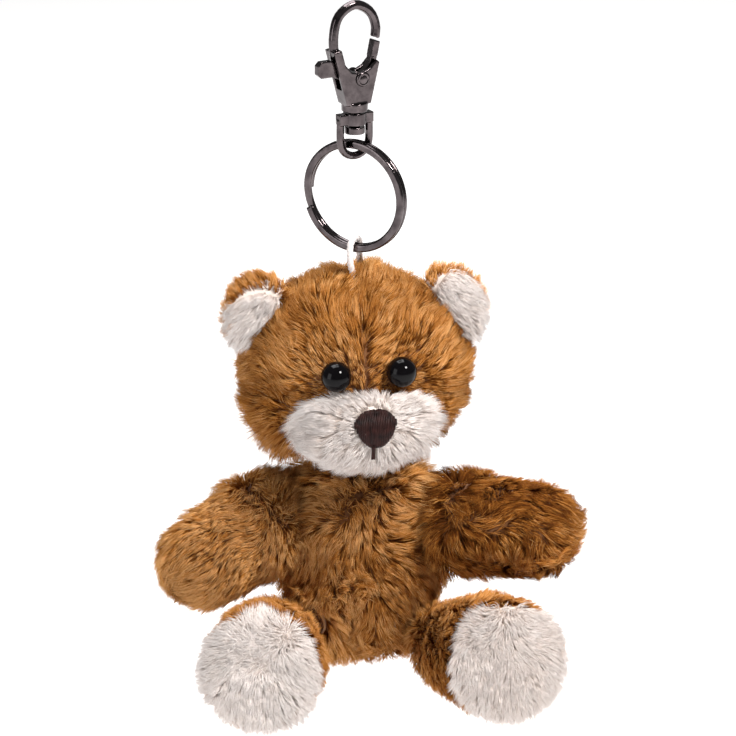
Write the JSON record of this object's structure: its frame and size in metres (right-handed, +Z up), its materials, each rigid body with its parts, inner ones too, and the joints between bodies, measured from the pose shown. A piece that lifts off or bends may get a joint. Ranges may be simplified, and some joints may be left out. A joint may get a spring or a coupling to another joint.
{
  "type": "plush keychain",
  "caption": "Small seated plush bear hung on a cord loop, a split ring and a swivel trigger hook, with sewn limbs that flex.",
  "frame": {"origin": "inside top of the hook's eye, where the keychain hangs", "axes": "+Z up along the hanging keychain, -Y the way the bear faces, +X to the bear's own left"},
  "size_m": [0.0942, 0.0734, 0.1524],
  "materials": {
    "gunmetal": "polished dark nickel plating",
    "spring_steel": "drawn wire",
    "white_cord": "braided polyester cord",
    "brown_plush": "caramel long pile plush",
    "white_plush": "cream long pile plush",
    "filling": "polyester fibre filling",
    "brown_thread": "sewing thread",
    "nose_thread": "dark brown satin stitch",
    "black_eye": "glossy moulded safety eye",
    "washer_plastic": "moulded"
  },
  "bodies": {
    "hook": {"hook_frame": "gunmetal", "rivet_pin": "gunmetal", "gate_spring": "spring_steel", "swivel_post": "gunmetal"},
    "gate": {"gate_lever": "gunmetal"},
    "bail": {"swivel_bail": "gunmetal"},
    "ring": {"split_ring": "gunmetal"},
    "cord": {"cord_loop": "white_cord", "cord_knot": "white_cord"},
    "head": {"head_back_panel": "brown_plush", "head_stuffing": "filling", "muzzle_skin": "white_plush", "muzzle_stuffing": "filling", "nose_embroidery": "nose_thread", "mouth_stitch": "nose_thread", "face_panel_right": "brown_plush", "eye_right": "black_eye", "eye_washer_right": "washer_plastic", "ear_front_right": "white_plush", "ear_back_right": "brown_plush", "face_panel_left": "brown_plush", "eye_left": "black_eye", "eye_washer_left": "washer_plastic", "ear_front_left": "white_plush", "ear_back_left": "brown_plush"},
    "torso": {"belly_panel": "brown_plush", "back_panel_right": "brown_plush", "back_panel_left": "brown_plush", "torso_stuffing": "filling", "arm_seam_right": "brown_thread", "arm_seam_left": "brown_thread", "leg_seam_right": "brown_thread", "leg_seam_left": "brown_thread"},
    "arm_right": {"arm_skin_right": "brown_plush", "arm_stuffing_right": "filling"},
    "leg_right": {"leg_skin_right": "brown_plush", "leg_stuffing_right": "filling", "sole_pad_right": "white_plush"},
    "arm_left": {"arm_skin_left": "brown_plush", "arm_stuffing_left": "filling"},
    "leg_left": {"leg_skin_left": "brown_plush", "leg_stuffing_left": "filling", "sole_pad_left": "white_plush"}
  },
  "joints": [
    {"name": "gate_pivot", "type": "hinge", "parent": "hook", "child": "gate", "pos_m": [0.00069, 0.0004, -0.0147], "axis": [0.5, -0.866, 0], "range_deg": [0, 25], "stiffness_Nm_per_rad": 0.02, "springref_deg": -17.19, "deforming": ["gate_spring"]},
    {"name": "swivel_turn", "type": "hinge", "parent": "hook", "child": "bail", "pos_m": [0, 0, -0.0236], "axis": [0, 0, 1], "continuous": true},
    {"name": "ring_swing", "type": "hinge", "parent": "bail", "child": "ring", "pos_m": [0, 0, -0.032], "axis": [0.866, 0.5, 0], "range_deg": [-25, 25]},
    {"name": "loop_swing", "type": "hinge", "parent": "ring", "child": "cord", "pos_m": [0, 0, -0.0525], "axis": [0.866, -0.5, 0], "range_deg": [-25, 25]},
    {"name": "cord_twist", "type": "hinge", "parent": "cord", "child": "head", "pos_m": [0, 0, -0.0582], "axis": [0, 0, 1], "range_deg": [-40, 40]},
    {"name": "neck_nod", "type": "hinge", "parent": "head", "child": "torso", "pos_m": [0.00075, 0.003, -0.10295], "axis": [1, 0, 0], "range_deg": [-12, 12], "stiffness_Nm_per_rad": 0.03},
    {"name": "shoulder_right", "type": "hinge", "parent": "torso", "child": "arm_right", "pos_m": [-0.01565, -0.00092, -0.11903], "axis": [-0.4191, 0.9079, 0], "range_deg": [-4, 15], "stiffness_Nm_per_rad": 0.03},
    {"name": "shoulder_left", "type": "hinge", "parent": "torso", "child": "arm_left", "pos_m": [0.01858, -0.0009, -0.11848], "axis": [-0.3317, -0.9434, 0], "range_deg": [-15, 18], "stiffness_Nm_per_rad": 0.03},
    {"name": "hip_right", "type": "hinge", "parent": "torso", "child": "leg_right", "pos_m": [-0.0121, -0.00674, -0.13738], "axis": [-0.9729, 0.2314, 0], "range_deg": [-15, 8], "stiffness_Nm_per_rad": 0.03},
    {"name": "hip_left", "type": "hinge", "parent": "torso", "child": "leg_left", "pos_m": [0.01434, -0.0076, -0.1374], "axis": [-0.8399, -0.5427, 0], "range_deg": [-15, 10], "stiffness_Nm_per_rad": 0.03}
  ]
}
